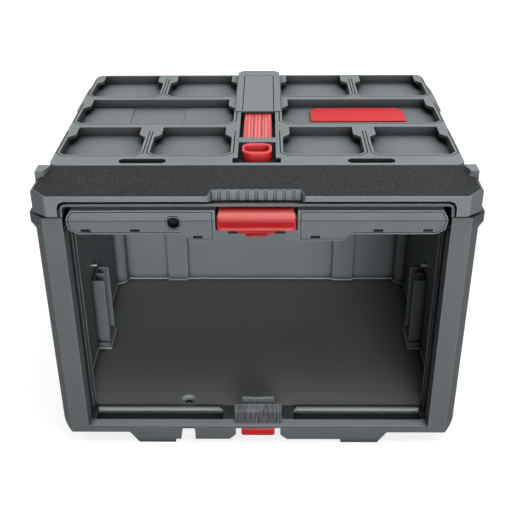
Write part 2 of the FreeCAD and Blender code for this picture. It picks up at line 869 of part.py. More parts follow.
def make_spine():
    cover = new_body("spine_cover")
    crest = roof_top + d.cover_back_rise
    brow = roof_top + d.cover_front_rise
    side = [(cover_front, roof_top), (plate_back, roof_top), (plate_back, crest),
            (cover_front + d.cover_nose, brow), (cover_front, roof_top + d.cover_nose_rise)]
    pad(cover, "x", -d.cover_half, d.cover_half, side)
    corner = [(d.cover_half - d.cover_corner, plate_back), (d.cover_half, plate_back - d.cover_corner),
              (d.cover_half, plate_back)]
    pocket(cover, "z", roof_top, crest, *both(corner))
    outer = d.cover_half - d.cover_margin
    inner = outer - d.cover_groove
    start, end = cover_front + d.cover_groove_set, plate_back - d.cover_groove_end
    groove = [(outer, start), (outer, end), (-outer, end), (-outer, start), (-inner, start),
              (-inner, end - d.cover_groove), (inner, end - d.cover_groove), (inner, start)]
    pocket(cover, "z", brow - d.cover_groove_depth, crest, groove)

    bridge = new_body("spine_bridge")
    under = roof_top - d.bridge_thick
    crown = roof_top + d.bridge_proud
    section = [(bridge_start, under), (bridge_end, under), (bridge_end, roof_top),
               (bridge_end - d.bridge_slope, crown), (bridge_start + d.bridge_slope, crown),
               (bridge_start, roof_top)]
    pad(bridge, "x", -well_half, well_half, section)

    release = new_body("stack_release")
    base = deck_top + d.release_lift
    half = d.release_half
    tongue_top = roof_top - d.tongue_drop
    pad(release, "z", base, base + d.release_plate, rect(-half, half, ring_start, tongue_end))
    pad(release, "z", base, roof_top, rect(-half, half, ring_start, ring_end))
    pad(release, "z", base, tongue_top, rect(-half, half, tongue_start, tongue_end))

    def ring_edge(edge):
        return stands(edge) and any(lies_at(edge, y=y) for y in (ring_start, ring_end))

    soften(release, "Fillet", d.ring_round, ring_edge)
    hole_half = half - d.ring_wall
    pocket(release, "z", base, roof_top,
           rect(-hole_half, hole_half, ring_start + d.ring_end_wall, ring_end - d.ring_end_wall))

    def hole_edge(edge):
        return stands(edge) and any(lies_at(edge, x=x) for x in (hole_half, -hole_half))

    soften(release, "Fillet", d.hole_round, hole_edge)
    share = (half - d.tongue_margin) * (2 / TONGUE_STRIPS)
    strips = []
    for number in range(TONGUE_STRIPS):
        start = share * number - half + d.tongue_margin
        strips.append(rect(start + d.tongue_groove / 2, start + share - d.tongue_groove / 2,
                           tongue_start + d.tongue_margin, tongue_end - d.tongue_margin))
    pad(release, "z", tongue_top - d.bite, tongue_top + d.tongue_strip_rise, *strips)
    make_spring("stack_spring", -half / 2, half / 2, tongue_end, well_back, base, base + d.release_plate)


def make_spring(label, x_low, x_high, y_low, y_high, z_low, z_high):
    """A flat strip that runs to and fro across x, from y_low to y_high."""
    spring = new_body(label)
    strip = d.spring_strip
    pitch = (y_high - y_low - strip) / (SPRING_TURNS - 1)
    for turn in range(SPRING_TURNS):
        line = y_low + pitch * turn
        pad(spring, "z", z_low, z_high, rect(x_low, x_high, line, line + strip))
        if turn == SPRING_TURNS - 1:
            break
        edge = (x_high - strip, x_high) if turn % 2 == 0 else (x_low, x_low + strip)
        pad(spring, "z", z_low, z_high, rect(*edge, line, line + pitch + strip))


def make_badge_plate():
    badge = new_body("badge_plate")
    inner, outer, low, high = pocket_spans()[2]
    start = (inner + outer - d.badge_length) / 2
    end = start + d.badge_length
    top = high - d.badge_set
    cut = d.badge_chamfer
    pad(badge, "z", deck_top, deck_top + d.badge_thick,
        [(start, top - d.badge_width), (end, top - d.badge_width), (end, top - cut), (end - cut, top),
         (start + cut, top), (start, top - cut)])


# The door

def latch_recess():
    """The room for the latch in the door's front edge, as x half width and back y."""
    return d.latch_half + d.latch_gap, face - d.latch_proud + d.latch_depth + d.latch_travel + d.latch_gap


def door_panel(side, inset):
    """The face of the door's front edge beside the latch, on the right (1) or the left (-1), moved in."""
    start = latch_recess()[0] + d.door_panel_gap + inset
    pad_end = (d.door_pad_right if side > 0 else d.door_pad_left) + inset / 2
    half = inset / 2
    outline = [
        (start, door_top - inset),
        (door_half - d.door_chamfer - half, door_top - inset),
        (door_half - d.door_flank - inset, door_top - d.door_chamfer_height - half),
        (door_half - inset, parting),
        (door_half - d.door_flank * 2 - inset, door_under + d.door_heel_height + half),
        (door_half - d.door_heel - half, door_under + inset),
        (pad_end, door_under + inset),
        (pad_end - d.door_pad_slope, pad_under + inset),
        (start, pad_under + inset),
    ]
    return outline if side > 0 else [(-u, v) for u, v in outline]


def mark_door_edge(shell):
    """The line round each panel, and the hole with its six-sided boss, as far as the shell has them."""
    lines = []
    for side in (1, -1):
        lines += [door_panel(side, d.door_line_set), door_panel(side, d.door_line_set + d.door_line)]
    boss = []
    middle = -d.dimple_offset
    for trim in (as_size(0), d.door_line):
        wide, rise = d.boss_half - trim, d.boss_rise - trim
        boss.append([(middle - wide, pivot_z), (middle - wide / 2, pivot_z - rise),
                     (middle + wide / 2, pivot_z - rise), (middle + wide, pivot_z),
                     (middle + wide / 2, pivot_z + rise), (middle - wide / 2, pivot_z + rise)])
    pocket(shell, "y", face, face + d.door_line_depth, *lines)
    pocket(shell, "y", face, face + d.door_line_depth, *boss)
    pocket(shell, "y", face, face + d.door_hole_depth, (middle, pivot_z, d.door_hole_radius))


def make_door_outer():
    shell = new_body("door_outer_shell")
    end = pivot_y - d.barrel_radius - d.barrel_gap
    section = [(door_half, parting), (door_half - d.door_flank, door_top - d.door_chamfer_height),
               (door_half - d.door_chamfer, door_top)]
    pad(shell, "y", face, end, section + [(-u, v) for u, v in reversed(section)])
    half, depth = latch_recess()
    pocket(shell, "z", parting, door_top, rect(-half, half, face, depth))
    room = rect(d.door_chamfer + d.door_skin - door_half, door_half - d.door_skin - d.door_chamfer,
                depth + d.door_skin, end - d.door_skin)
    pocket(shell, "z", parting, door_top - d.door_skin - d.door_panel_depth, room)
    inset = d.door_panel_inset
    pocket(shell, "z", door_top - d.door_panel_depth, door_top,
           rect(inset - door_half, door_half - inset, depth + inset, end - inset))
    mark_door_edge(shell)


def make_door_inner():
    shell = new_body("door_inner_shell")
    section = [(door_half, parting), (door_half - d.door_flank * 2, door_under + d.door_heel_height),
               (door_half - d.door_heel, door_under)]
    pad(shell, "y", face, pivot_y - d.barrel_radius / 2, section + [(-u, v) for u, v in reversed(section)])
    pad(shell, "x", -door_half, door_half, (pivot_y, pivot_z, d.barrel_radius))
    pad_end = face + d.door_pad_length
    pad(shell, "y", face, pad_end,
        [(-d.door_pad_left, door_under + d.bite), (-d.door_pad_left, door_under),
         (d.door_pad_slope - d.door_pad_left, pad_under), (d.door_pad_right - d.door_pad_slope, pad_under),
         (d.door_pad_right, door_under), (d.door_pad_right, door_under + d.bite)])
    half, depth = latch_recess()
    latch_floor = door_under + d.latch_floor
    pocket(shell, "z", latch_floor, parting, rect(-half, half, face, depth))
    notch_end = door_to_sill(strike_top) + d.notch_gap
    notch_half = d.scoop_half + d.notch_gap
    pocket(shell, "z", pad_under, latch_floor, rect(-notch_half, notch_half, face, notch_end))
    slot_half = d.hook_half + d.latch_gap
    slot_end = notch_end + d.hook_arm + d.latch_travel + d.latch_gap
    pocket(shell, "z", pad_under, latch_floor, rect(-slot_half, slot_half, notch_end - d.bite, slot_end))
    room_end = pivot_y - d.barrel_radius - d.door_skin
    edge_room = d.door_chamfer + d.door_skin
    pocket(shell, "z", door_under + d.door_skin, parting,
           rect(edge_room - door_half, door_half - edge_room, pad_end, room_end))
    pocket(shell, "x", -door_half, door_half, (pivot_y, pivot_z, d.rod_radius + d.rod_clearance))
    windows = []
    for share, under in zip(WINDOW_SHARES, (door_under, door_under, pad_under)):
        middle = door_half * share
        window_low = under + d.window_set
        windows += both(rect(middle - d.window_half, middle + d.window_half, window_low,
                             window_low + d.window_height))
    pocket(shell, "y", face, face + d.window_depth, *windows)
    mark_door_edge(shell)


def make_latch():
    latch = new_body("door_latch")
    toe = face - d.latch_proud
    heel = toe + d.latch_depth
    low = door_under + d.latch_floor + d.latch_clearance
    high = door_top - d.latch_flush
    crease = high - d.latch_slope_rise
    inset = toe + d.latch_inset
    side = [(toe, low), (toe, low + d.latch_lip), (inset, low + d.latch_lip + d.latch_crease),
            (inset, crease - d.latch_crease), (toe, crease)]
    side += [(toe + d.latch_slope_run * run, crease + d.latch_slope_rise * rise) for run, rise in LATCH_CURVE]
    side += [(toe + d.latch_slope_run, high), (heel, high), (heel, low)]
    pad(latch, "x", -d.latch_half, d.latch_half, side)
    half = d.latch_half
    corner = [(half - d.latch_corner, toe), (half, toe), (half, toe + d.latch_corner)]
    pocket(latch, "z", low, high, *both(corner))
    brow = [(half - d.latch_brow, high), (half, high - d.latch_brow_drop), (half, high)]
    pocket(latch, "y", toe, heel, *both(brow))
    tongue_low = low - d.latch_tongue_drop
    pad(latch, "z", tongue_low, low + d.bite,
        rect(-d.latch_tongue_half, d.latch_tongue_half, toe, toe + d.latch_tongue_thick))
    arm = door_to_sill(strike_top) + d.hook_clearance
    arm_end = arm + d.hook_arm
    tip = arm - d.hook_reach
    tip_under = pad_under + d.hook_lift
    tip_top = tip_under + d.hook_thick
    hook = [(arm, low + d.bite), (arm, tip_top), (tip, tip_top), (tip, tip_under), (arm_end, tip_under),
            (arm_end, low + d.bite)]
    pad(latch, "x", -d.hook_half, d.hook_half, hook)
    _, depth = latch_recess()
    spring_low = low + d.latch_spring_set
    make_spring("latch_spring", -d.hook_half, d.hook_half, heel, depth, spring_low,
                spring_low + d.latch_spring_height)


def make_strike():
    strike = new_body("latch_strike")
    pad(strike, "y", strike_front, strike_back, rect(-d.strike_half, d.strike_half, sill_top, strike_top))
    pocket(strike, "y", strike_front, strike_back,
           rect(-d.strike_dip_half, d.strike_dip_half, strike_top - d.strike_dip, strike_top))
    pad(strike, "z", sill_top, sill_top + d.strike_thick,
        rect(-d.strike_half, d.strike_half, strike_front, strike_back + d.strike_foot))

    scoop = new_body("finger_scoop")
    start = scoop_front - d.scoop_run
    step = sill_top + d.scoop_step
    wall_top = sill_top + d.scoop_wall_rise
    side = [(start, sill_top), (start, sill_top + d.scoop_edge),
            (scoop_front - d.scoop_bend, sill_top + d.scoop_bed), (scoop_front - d.scoop_step_run, step),
            (scoop_front, step + d.scoop_step_rise), (scoop_front, wall_top), (scoop_back, wall_top),
            (scoop_back, sill_top)]
    pad(scoop, "x", -d.scoop_half, d.scoop_half, side)

    screws = []
    for x in (d.strike_screw_offset, -d.strike_screw_offset):
        screws.append(rod("strike_screw", "z", d.screw_radius, d.screw_head, x,
                          strike_back + d.strike_foot / 2, sill_top + d.strike_thick))
    group("strike_screws", screws)


def make_pivot_and_tracks():
    reach = inside - d.track_reach
    shoe_inner = reach + d.shoe_gap
    shoe_outer = shoe_inner + d.shoe_width
    pivot = rod("door_pivot_rod", "x", d.rod_radius, shoe_outer * 2, -shoe_outer, pivot_y, pivot_z)
    pivot.Label = "door_pivot_rod"
    screws = []
    for side, name in ((1, "right"), (-1, "left")):
        shoe = new_body("pivot_shoe_" + name)
        low, high = side_span(side, shoe_inner, shoe_outer)
        long_half, high_half = d.shoe_half_length, d.shoe_half_height
        pad(shoe, "x", low, high, rect(pivot_y - long_half, pivot_y + long_half, pivot_z - high_half,
                                       pivot_z + high_half))

        def end_edge(edge):
            return any(lies_at(edge, y=y, z=z) for y in (pivot_y - long_half, pivot_y + long_half)
                       for z in (pivot_z - high_half, pivot_z + high_half))

        soften(shoe, "Fillet", d.shoe_round, end_edge)
        pocket(shoe, "x", low, high, (pivot_y, pivot_z, d.rod_radius + d.rod_clearance / 2))

        track = new_body("track_" + name)
        room = d.shoe_half_height + d.shoe_gap
        lip = room + d.track_wall
        section = [(reach, pivot_z - lip), (inside, pivot_z - lip), (inside, pivot_z + lip),
                   (reach, pivot_z + lip), (reach, pivot_z + room), (inside - d.track_web, pivot_z + room),
                   (inside - d.track_web, pivot_z - room), (reach, pivot_z - room)]
        if side < 0:
            section = [(-u, v) for u, v in section]
        track_start = face + d.wall + d.fit_gap
        track_end = pivot_y + d.track_overrun
        pad(track, "y", track_start, track_end, section)
        web = inside - d.track_web
        head, _ = side_span(side, web - d.screw_head, web)
        for share in TRACK_SCREW_SHARES:
            along = track_start + (track_end - track_start) * share
            screws.append(rod("track_screw", "x", d.screw_radius, d.screw_head, head, along, pivot_z))
    group("track_screws", screws)


# Inside fittings, seal and base

def make_side_fittings():
    studs = []
    for side, name in ((1, "right"), (-1, "left")):
        post = new_body("shelf_post_" + name)
        start = -d.post_front
        end = start + d.post_depth
        reach = inside - d.post_reach
        wall = d.post_wall
        middle = start + d.post_depth / 2
        section = [(reach, start), (inside, start), (inside, end), (reach, end), (reach, end - wall),
                   (inside - wall, end - wall), (inside - wall, middle + wall), (reach + wall, middle + wall),
                   (reach + wall, middle), (inside - wall, middle), (inside - wall, start + wall),
                   (reach, start + wall)]
        foot = rect(reach, inside, start - d.post_foot_spread, end + d.post_foot_spread)
        if side < 0:
            section = [(-u, v) for u, v in section]
            foot = [(-u, v) for u, v in foot]
        pad(post, "z", floor, floor + d.post_height, section)
        pad(post, "z", floor, floor + d.post_foot_height, foot)
        low, high = side_span(side, inside - d.stud_length, inside)
        studs.append(rod("post_stud", "x", d.stud_radius, d.stud_length, low, middle,
                         floor + d.post_height + d.stud_rise))
    group("post_studs", studs)

    for side, name in ((1, "right"), (-1, "left")):
        seal = new_body("side_seal_" + name)
        groove_half = opening + d.seal_groove_depth
        tip = ledge_half + d.seal_tip_set
        seal_front = ledge_front - d.seal_depth
        section = [(tip, ledge_front), (tip, ledge_front - d.seal_tip), (opening, seal_front),
                   (groove_half, seal_front), (groove_half, ledge_front)]
        if side < 0:
            section = [(-u, v) for u, v in section]
        pad(seal, "z", sill_top, track_low - d.fit_gap, section)


def make_base():
    skid = new_body("base_skid")
    top = d.foot_height
    low = top - d.skid_thick
    skid_front = face + d.skid_front_set
    skid_back = back - d.skid_back_set
    skid_half = d.body_half - d.skid_inset
    pad(skid, "z", low, top, rect(-skid_half, skid_half, skid_front, skid_back))
    spans = pocket_spans()
    cleats = []
    for inner, outer, row_front, row_back in spans[:2] + spans[3:]:
        cleats += both(rect(inner + d.cleat_inset, outer - d.cleat_inset, row_front + d.cleat_inset,
                            row_back - d.cleat_shorten - d.cleat_inset))
    pad(skid, "z", as_size(0), low + d.bite, *cleats)

    guide_front = face + d.guide_set
    guide_back = face + d.guide_depth
    foot_end = d.guide_half + d.guide_foot
    foot = [(d.guide_half, as_size(0)), (foot_end, as_size(0)), (foot_end + d.guide_slope, top),
            (d.guide_half, top)]
    pad(skid, "y", guide_front, guide_back, *both(foot))
    guide_inner = d.notch_half + d.guide_end_slope
    guide_outer = d.guide_half + d.bite
    guide = [(guide_inner, d.guide_lift), (guide_outer, d.guide_lift), (guide_outer, top),
             (d.notch_half, top), (d.notch_half, top - d.guide_end_rise)]
    pad(skid, "y", guide_front, guide_back, *both(guide))
    pocket(skid, "y", guide_front, skid_front,
           rect(-(d.arch_start + d.arch_length), -d.arch_start, as_size(0), top))
    pocket(skid, "z", low, top,
           rect(-d.notch_half, d.notch_half, skid_front, face + d.notch_depth + d.notch_margin))
    stem_back = face - d.lock_proud + d.lock_thick + d.stem_length
    channel_end = stem_back + d.lock_spring
    channel = d.stem_half + d.stem_gap
    pocket(skid, "z", top - d.stem_thick - d.stem_gap * 2, top,
           rect(-channel, channel, face + d.notch_depth, channel_end))

    lock = new_body("base_release")
    lock_front = face - d.lock_proud
    lock_back = lock_front + d.lock_thick
    tab_low = top - d.lock_low
    stem_top = top - d.stem_gap
    pad(lock, "z", stem_top - d.stem_thick, stem_top,
        rect(-d.stem_half, d.stem_half, lock_back - d.bite, stem_back))
    tab_high = top + d.notch_rise - d.stem_gap
    pad(lock, "y", lock_front, lock_back, rect(-d.lock_half, d.lock_half, tab_low, tab_high))

    def tab_edge(edge):
        return any(lies_at(edge, x=x, z=tab_low) for x in (d.lock_half, -d.lock_half))

    soften(lock, "Fillet", d.lock_round, tab_edge)
    make_spring("base_spring", -d.stem_half / 2, d.stem_half / 2, stem_back, channel_end,
                stem_top - d.stem_thick, stem_top)

    screws = []
    screw_x = skid_half - d.base_screw_inset
    for x in (screw_x, -screw_x):
        for y in (skid_front + d.base_screw_inset, skid_back - d.base_screw_inset):
            screws.append(rod("base_screw", "z", d.base_screw_radius, d.base_screw_head, x, y,
                              low - d.base_screw_head))
    group("base_screws", screws)

    dowels = []
    for x, y in dowel_places():
        dowels.append(rod("roof_dowel", "z", d.dowel_radius, d.dowel_length, x, y,
                          rim_top - d.dowel_length / 2))
    group("roof_dowels", dowels)


NODES = [
    "body_shell", "roof_cap", "stacking_grid", "spine_cover", "spine_bridge", "stack_release", "stack_spring",
    "badge_plate", "door_outer_shell", "door_inner_shell", "door_latch", "latch_spring", "latch_strike",
    "finger_scoop", "strike_screws", "door_pivot_rod", "pivot_shoe_left", "pivot_shoe_right", "track_left",
    "track_right", "track_screws", "shelf_post_left", "shelf_post_right", "post_studs", "side_seal_left",
    "side_seal_right", "base_skid", "base_release", "base_spring", "base_screws", "roof_dowels",
]


def write_parts():
    """Stop if anything failed, then write each node's solids."""
    for item in doc.Objects:
        if "Invalid" in item.State or "Error" in item.State:
            raise RuntimeError(f"{item.Label} failed: {item.State}")
    shapes = {}
    for label in NODES:
        shape = doc.getObjectsByLabel(label)[0].Shape
        if shape.isNull() or not shape.isValid() or not shape.Solids:
            raise RuntimeError(f"{label} has no valid solid")
        shapes[label] = shape
    os.makedirs("parts", exist_ok=True)
    for label, shape in shapes.items():
        shape.exportStep(f"parts/{label}.step")
        print(label, len(shape.Solids), round(shape.Volume / 1000, 1), "cm3")


make_body_shell()
make_roof_cap()
make_stacking_grid()
make_spine()
make_badge_plate()
make_door_outer()
make_door_inner()
make_latch()
make_strike()
make_pivot_and_tracks()
make_side_fittings()
make_base()
doc.recompute()
write_parts()
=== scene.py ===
from math import cos, pi, radians, sin

import bmesh
import bpy
from bpy.props import FloatProperty, FloatVectorProperty, PointerProperty
from mathutils import Matrix, Vector


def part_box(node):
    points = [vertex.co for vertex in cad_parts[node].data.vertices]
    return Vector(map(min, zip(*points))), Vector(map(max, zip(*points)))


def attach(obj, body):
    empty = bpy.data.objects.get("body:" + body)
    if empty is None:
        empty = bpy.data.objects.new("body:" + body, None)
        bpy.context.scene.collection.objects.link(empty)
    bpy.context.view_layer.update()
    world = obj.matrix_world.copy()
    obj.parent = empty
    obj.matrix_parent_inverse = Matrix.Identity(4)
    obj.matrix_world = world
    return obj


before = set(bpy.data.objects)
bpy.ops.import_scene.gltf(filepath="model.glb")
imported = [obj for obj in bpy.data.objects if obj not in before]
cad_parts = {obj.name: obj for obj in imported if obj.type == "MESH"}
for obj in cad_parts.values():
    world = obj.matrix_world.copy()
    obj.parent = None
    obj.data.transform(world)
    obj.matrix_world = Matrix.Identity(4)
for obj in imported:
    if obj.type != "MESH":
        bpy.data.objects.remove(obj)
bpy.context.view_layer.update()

bl_info = {
    "name": "Stacking tool cabinet",
    "version": (1, 0, 0),
    "blender": (4, 5, 0),
    "location": "View3D > Sidebar > Cabinet",
    "description": "Finishes, trim and studio for a stacking tool cabinet",
    "category": "Object",
}

MM = 0.001


def linear(colour):
    """An sRGB hex colour as linear red, green, blue and alpha."""
    parts = [int(colour[place:place + 2], 16) / 255 for place in (1, 3, 5)]
    curved = [part / 12.92 if part <= 0.04045 else ((part + 0.055) / 1.055) ** 2.4 for part in parts]
    return (*curved, 1.0)


def grey(level):
    """A neutral colour of one linear level."""
    return (level, level, level, 1)


BLACK = grey(0)
WHITE = grey(1)
# Painted highlights: glints on the grain, pale lines along the rounded edges, and a pale sheen on red curves
# and rib tops.
GRAIN_GLINT = linear("#9AA0A2")
HIGHLIGHT_GREY = linear("#BAC0C2")
HIGHLIGHT_RED = linear("#F08078")
HIGHLIGHT_PINK = linear("#F0A8A0")

# Places on the cabinet, as ranges in millimetres from the middle of the ground under it
INSIDE_SKIN = (-230, 230)
CABIN = {"X": INSIDE_SKIN, "Y": (-179.5, 181), "Z": (17.5, 318.5)}
CABIN_FLOOR = {**CABIN, "Z": (26.6, 27.4)}
FLOOR_STEP = {"Y": (-109.5, -108.3)}
FLOOR_DIMPLE = {"X": (-101, -80), "Y": (-139, -115), "Z": (19.2, 26.55)}
SILL_STRIP = {"X": INSIDE_SKIN, "Y": (-179.5, -165.4), "Z": (24, 26.5)}
SILL_CHANNEL = {"X": INSIDE_SKIN, "Y": (-165.4, -139), "Z": (17.5, 29.6)}
SILL_RIDGE = {"X": INSIDE_SKIN, "Y": (-152, -147.5), "Z": (26.4, 30.6)}
OUTER_SIDE = {"X": (230, 260)}
BODY_SEAM = {"Z": (318, 319.4)}
LID_SEAM = {"Z": (300, 321.4)}
DOOR_GROOVES = {"Y": (-179.5, -150)}
DOOR_PARTING = {"Z": (314.1, 314.9)}
DOOR_HOLE = {"X": (-98, -83), "Y": (-179, -160), "Z": (304.7, 319.3)}
POCKETS = {"X": (-227, 227), "Y": (-137, 180)}
POCKET_LINES = {"Z": (353, 362.4)}
COVER_LINE = {"Z": (363.2, 364)}
RELEASE_TONGUE = {"Y": (-72, 40)}

# Ways that a face points, as ranges of its unit normal
FACES_FRONT = {"Y": (-1.1, -0.5)}
SQUARE_TO_FRONT = {"Y": (-1.1, -0.9)}
POCKET_REAR = {"Y": (-1.1, -0.7)}
FLAT_TOP = {"Z": (0.9, 1.1)}
TOP_EDGE = {"Z": (0.5, 1.1)}
UPRIGHT = {"Z": (-0.6, 0.6)}
LID_SLOPE = {"Z": (0.55, 0.97)}
CORNER_FACET = {"Y": (-0.95, -0.3), "Z": (-0.3, 0.3)}
FACET_SLANT = {"X": (0.35, 0.95)}


def colour_property(label, words, colour):
    """A colour that the user may change, from its sRGB hex value."""
    return FloatVectorProperty(name=label, description=words, subtype="COLOR", size=4, min=0, max=1,
                               default=linear(colour))


class CabinetColours(bpy.types.PropertyGroup):
    """Colours of the mouldings, rubber and metal."""
    shell: colour_property("Shell", "Outside and side walls of the body, and the strike", "#5A5F61")
    # Painted light: the cabin, its floor and the sill strip are paler than the shell; the sill channel is
    # painted dark as shade.
    cabin: colour_property("Cabin", "Back wall and ledges of the body", "#73787B")
    floor: colour_property("Cabin floor", "Floor inside the body", "#737575")
    sill: colour_property("Sill", "Front strip of the sill", "#888E91")
    channel: colour_property("Sill channel", "Channel along the sill, painted dark", "#343739")
    # Painted highlights: sill ridges, dimple, floor bead and the strike's top.
    ridge: colour_property("Painted highlights", "Sill ridges, dimple, bead and top of the strike", "#A6AAAC")
    door: colour_property("Door", "Outer half of the door, and the shelf posts", "#6A6F71")
    # Painted shade: the door's inner half is darker.
    door_inner: colour_property("Door inside", "Inner half of the door", "#5F6466")
    lid: colour_property("Lid", "Lip and legs of the lid", "#707678")
    plate: colour_property("Plate", "Stacking grid and spine", "#707677")
    # Painted shade: the pocket walls, with lighter rear walls as painted light.
    walls: colour_property("Pocket walls", "Walls of the stacking pockets", "#2C2E30")
    rear_walls: colour_property("Pocket rear walls", "Walls of the pockets that face the front", "#43474A")
    band: colour_property("Band", "Coarse grained slope of the lid", "#1D1E20")
    dark: colour_property("Dark parts", "Tracks and shoes", "#3E4143")
    # Painted shade: the bevelled front corners.
    facet: colour_property("Facets", "Bevelled front corners of the body", "#313638")
    # Painted shade for grooves, gaps, seams and the door's hole.
    gap: colour_property("Gaps", "Painted shade in grooves and gaps", "#141516")
    red: colour_property("Red", "Base release", "#AC171B")
    latch_red: colour_property("Latch red", "Paddle of the door's latch", "#9C1216")
    # The bright red is painted paler, as light from above on the stack release.
    bright_red: colour_property("Bright red", "Stack release and bare badge", "#BC2022")
    seal: colour_property("Seals", "Rubber seals of the door frame", "#2A2B2C")
    scoop: colour_property("Finger scoop", "Streaked rubber insert of the sill", "#7D7D81")
    steel: colour_property("Steel", "Studs, screws, dowels, springs and rod", "#C2C4C6")


class CabinetSizes(bpy.types.PropertyGroup):
    """Sizes of the finishes and the view."""
    # Real moulded grain is about 0.2 mm wide, and is drawn coarser here so that it shows.
    grain: FloatProperty(name="Grain", description="Width of the fine moulded grain", default=0.7 * MM,
                         unit="LENGTH")
    coarse_grain: FloatProperty(name="Coarse grain", description="Width of the lid band's grain",
                                default=1.6 * MM, unit="LENGTH")
    edge: FloatProperty(name="Edge", description="Radius of the moulded edges", default=1.0 * MM,
                        unit="LENGTH")
    lens: FloatProperty(name="Lens", description="Focal length of the camera", default=60.3,
                        subtype="DISTANCE_CAMERA")


def cabinet_settings():
    """The colours and the sizes as the user has set them."""
    scene = bpy.context.scene
    return scene.cabinet_colours, scene.cabinet_sizes


def add_node(tree, kind, inputs=None, **settings):
    """Add a shader node with its settings, and give its sockets values or links."""
    made = tree.nodes.new("ShaderNode" + kind)
    for name, value in settings.items():
        setattr(made, name, value)
    for socket, value in (inputs or {}).items():
        if isinstance(value, bpy.types.NodeSocket):
            tree.links.new(value, made.inputs[socket])
        else:
            made.inputs[socket].default_value = value
    return made


def new_material(name):
    """An empty material and its node tree."""
    material = bpy.data.materials.new(name)
    material.use_nodes = True
    material.node_tree.nodes.clear()
    return material, material.node_tree


def joined(tree, operation, *masks):
    """Masks joined into one: MULTIPLY where all of them hold, MAXIMUM where any does."""
    whole = masks[0]
    for mask in masks[1:]:
        whole = add_node(tree, "Math", {0: whole, 1: mask}, operation=operation).outputs[0]
    return whole


def zone(tree, vector, ranges, unit=1):
    """1 where the parts of a place or a normal all lie in their ranges, else 0."""
    split = add_node(tree, "SeparateXYZ", {"Vector": vector})
    masks = []
    for axis, limits in ranges.items():
        low, high = (limit * unit for limit in limits)
        near = add_node(tree, "Math", {0: split.outputs[axis], 1: (low + high) / 2, 2: (high - low) / 2},
                        operation="COMPARE")
        masks.append(near.outputs[0])
    return joined(tree, "MULTIPLY", *masks)


def layered(tree, colour, *layers):
    """A colour with others laid over it in turn, each by its share or mask."""
    for share, cover in layers:
        # Sockets 6 and 7 of a mix are its two colours, and its third output is their mix.
        colour = add_node(tree, "Mix", {0: share, 6: colour, 7: cover}, data_type="RGBA").outputs[2]
    return colour


def painted_gap_shade(tree, colour, reach, alone, clear=0.9):
    """A colour painted darker in grooves, gaps and inner corners narrower than reach, as painted shade. A
    piece that moves is taken alone, because its gaps open."""
    gap = cabinet_settings()[0].gap
    sky = add_node(tree, "AmbientOcclusion", {"Distance": reach}, samples=8, only_local=alone)
    share = add_node(tree, "MapRange", {"Value": sky.outputs["AO"], "From Min": 0.4, "From Max": clear})
    return layered(tree, gap, (share.outputs[0], colour))


def painted_edge_highlights(tree, radius, start, full, most):
    """The normal rounded off along the edges, and the share of a painted highlight there. The highlight
    starts where the rounded and the flat normal agree by less than start, and comes to its most at full."""
    rounded = add_node(tree, "Bevel", {"Radius": radius}, samples=4).outputs[0]
    flat = add_node(tree, "NewGeometry").outputs["Normal"]
    agree = add_node(tree, "VectorMath", {0: rounded, 1: flat}, operation="DOT_PRODUCT").outputs["Value"]
    highlight_share = add_node(tree, "MapRange", {"Value": agree, "From Min": start, "From Max": full, "To Max": most})
    return rounded, highlight_share.outputs[0]


def moulded(name, colour, roughness, depth, reach, coarse=False, paint=None, lines=None, relief=None,
            specular=0.15, clear=0.9, alone=False):
    """Grained thermoplastic. The mould's spark-eroded grain breaks up the gloss, pale glints are painted on
    the grain, the tone drifts a little over the part, and a pale highlight is painted along the rounded
    edges. The grain's depth and the reach of the painted shade in gaps are in millimetres. Paint may change
    the colour by place, lines says where narrow grooves and seams are painted dark as shade, and relief adds
    a coarser pattern under the grain."""
    colours, sizes = cabinet_settings()
    grain = sizes.coarse_grain if coarse else sizes.grain
    material, tree = new_material(name)
    spot = add_node(tree, "TexCoord")
    place, facing = spot.outputs["Object"], spot.outputs["Normal"]
    fine = add_node(tree, "TexNoise", {"Vector": place, "Scale": 1 / grain, "Detail": 3.0,
                                       "Roughness": 0.6}).outputs["Fac"]
    drift = add_node(tree, "TexNoise", {"Vector": place, "Scale": 1 / (90 * MM), "Detail": 2.0})
    glints = add_node(tree, "MapRange", {"Value": fine, "From Min": 0.35, "From Max": 0.75, "To Max": 0.25})
    # A pale highlight painted along the rounded edges.
    rounded, edge_highlight = painted_edge_highlights(tree, sizes.edge, start=0.995, full=0.86, most=0.5)
    base = paint(tree, place, facing, colour) if paint else colour
    darker = layered(tree, base, (0.22, BLACK))
    glint = layered(tree, base, (0.35, GRAIN_GLINT))
    tone = layered(tree, darker, (drift.outputs["Fac"], base), (glints.outputs[0], glint),
                   (edge_highlight, HIGHLIGHT_GREY))
    # Painted shade in grooves, gaps and inner corners.
    tone = painted_gap_shade(tree, tone, reach * MM, alone, clear)
    if lines:
        # Narrow grooves and seams painted dark as shade.
        tone = layered(tree, tone, (lines(tree, place, facing), colours.gap))
    surface = rounded
    if relief:
        surface = add_node(tree, "Bump", {"Height": relief(tree, place), "Strength": 0.8,
                                          "Distance": 0.5 * MM, "Normal": surface}).outputs[0]
    bump = add_node(tree, "Bump", {"Height": fine, "Strength": 0.35, "Distance": depth * MM,
                                   "Normal": surface})
    gloss = add_node(tree, "MapRange", {"Value": fine, "To Min": roughness - 0.08,
                                        "To Max": roughness + 0.1})
    shader = add_node(tree, "BsdfPrincipled", {"Base Color": tone, "Roughness": gloss.outputs[0],
                                               "Specular IOR Level": specular, "IOR": 1.49,
                                               "Normal": bump.outputs[0]})
    add_node(tree, "OutputMaterial", {"Surface": shader.outputs[0]})
    return material


